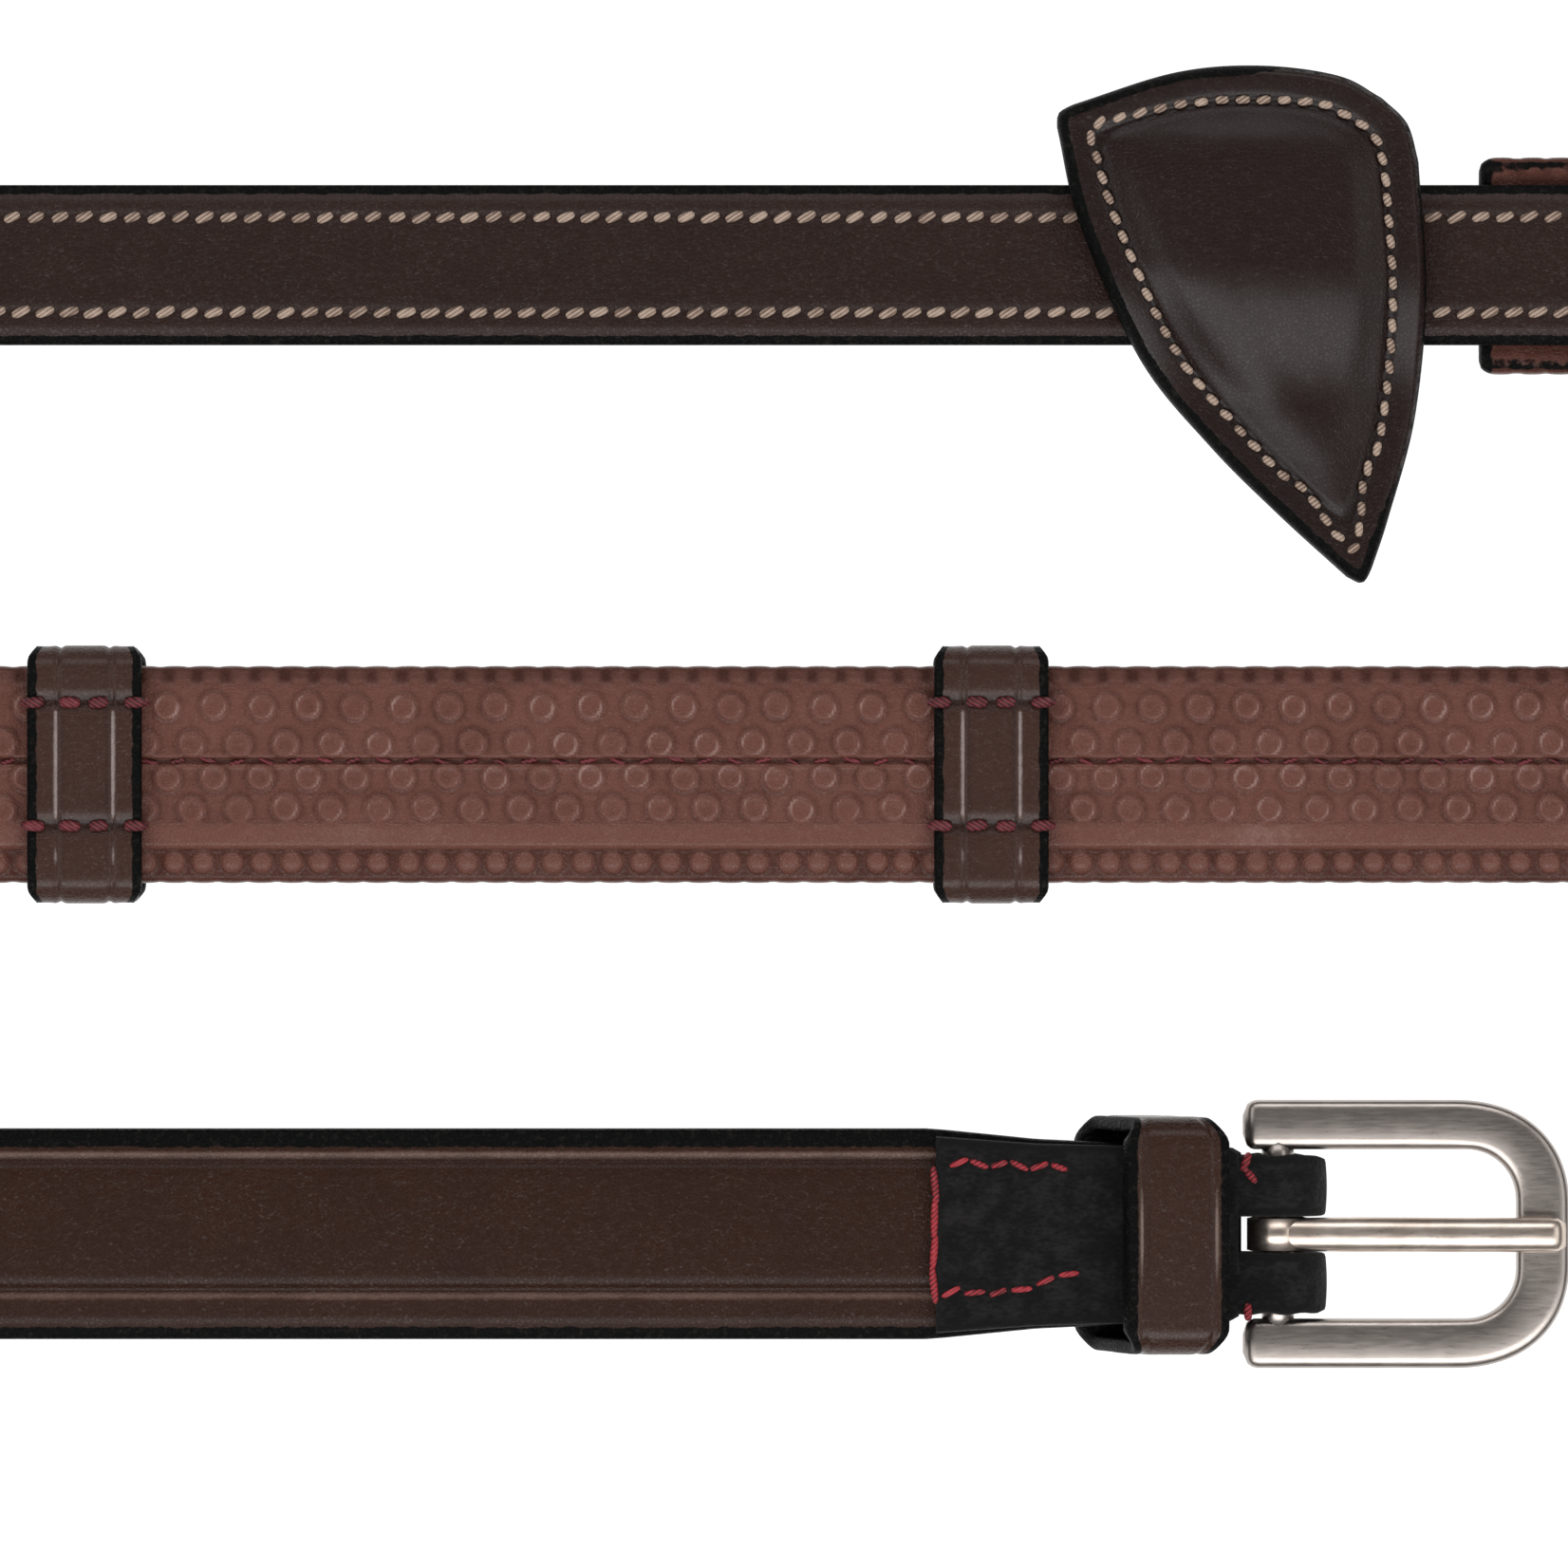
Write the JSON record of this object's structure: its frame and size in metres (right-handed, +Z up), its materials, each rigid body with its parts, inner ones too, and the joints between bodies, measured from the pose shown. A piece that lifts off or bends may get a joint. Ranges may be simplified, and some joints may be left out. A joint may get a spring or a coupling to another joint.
{
  "type": "leather reins",
  "caption": "Leather riding rein, buckle half: lined cheek part with rein stop and folded billet, padded grip with hand stops, hand part with keeper and D buckle.",
  "frame": {"origin": "on the table, under the middle of the third hand stop from the bit end, which is the face the laid-out rein rests on", "axes": "+X along the straight rows towards the buckle end, +Y towards the cheek part's row, +Z up from the table"},
  "size_m": [0.4697, 0.1297, 0.0275],
  "materials": {
    "strap_leather": "dark havana bridle leather, smooth and waxed",
    "lining_leather": "dark lining leather, matt",
    "grip_leather": "soft brown leather, embossed with rings",
    "grip_rubber": "matt",
    "band_leather": "dark brown leather, glossy with wax, cut edges dyed black",
    "hand_leather": "dark brown bridle leather, edges painted black",
    "suede_leather": "flesh side dyed black, matt",
    "buckle_steel": "satin stainless steel",
    "tan_thread": "waxed linen thread",
    "red_thread": "waxed thread"
  },
  "bodies": {
    "grip": {"grip_strap": "strap_leather", "grip_cover_2": "grip_leather", "grip_rubber_2": "grip_rubber", "hand_stop_2": "band_leather", "hand_stop_3": "band_leather", "hand_stop_4": "band_leather", "hand_stop_5": "band_leather", "hand_stop_6": "band_leather"},
    "cheek": {"cheek_strap": "strap_leather", "cheek_lining": "lining_leather", "grip_cover_1": "grip_leather", "grip_rubber_1": "grip_rubber", "hand_stop_1": "band_leather", "bit_billet": "strap_leather", "hook_stud": "buckle_steel", "bit_keeper_fixed": "band_leather"},
    "hand": {"tail_strap": "strap_leather", "grip_cover_3": "grip_leather", "grip_rubber_3": "grip_rubber", "hand_stop_7": "band_leather", "hand_strap": "hand_leather", "buckle_chape": "suede_leather", "buckle_keeper": "band_leather"},
    "stop": {"rein_stop_face": "band_leather", "rein_stop_lining": "lining_leather", "rein_stop_loop": "lining_leather"},
    "runner": {"bit_keeper_runner": "band_leather"},
    "buckle": {"buckle_frame": "buckle_steel"},
    "tongue": {"buckle_tongue": "buckle_steel"}
  },
  "joints": [
    {"name": "cheek_unfold", "type": "hinge", "parent": "grip", "child": "cheek", "pos_m": [0.1447, 0.0254, 0.0129], "axis": [0, 0, -1], "range_deg": [0, 100]},
    {"name": "hand_unfold", "type": "hinge", "parent": "grip", "child": "hand", "pos_m": [-0.32545, -0.02295, 0.0129], "axis": [0, 0, -1], "range_deg": [0, 100]},
    {"name": "rein_stop_slide", "type": "slide", "parent": "cheek", "child": "stop", "axis": [1, 0, 0], "range_m": [-0.15, 0.01]},
    {"name": "runner_slide", "type": "slide", "parent": "cheek", "child": "runner", "axis": [1, 0, 0], "range_m": [-0.01, 0.05]},
    {"name": "buckle_swing", "type": "hinge", "parent": "hand", "child": "buckle", "pos_m": [0.0287, -0.0459, 0.0052], "axis": [0, -1, 0], "range_deg": [-70, 30]},
    {"name": "tongue_swing", "type": "hinge", "parent": "buckle", "child": "tongue", "pos_m": [0.0287, -0.0459, 0.0052], "axis": [0, -1, 0], "range_deg": [0, 70]}
  ]
}
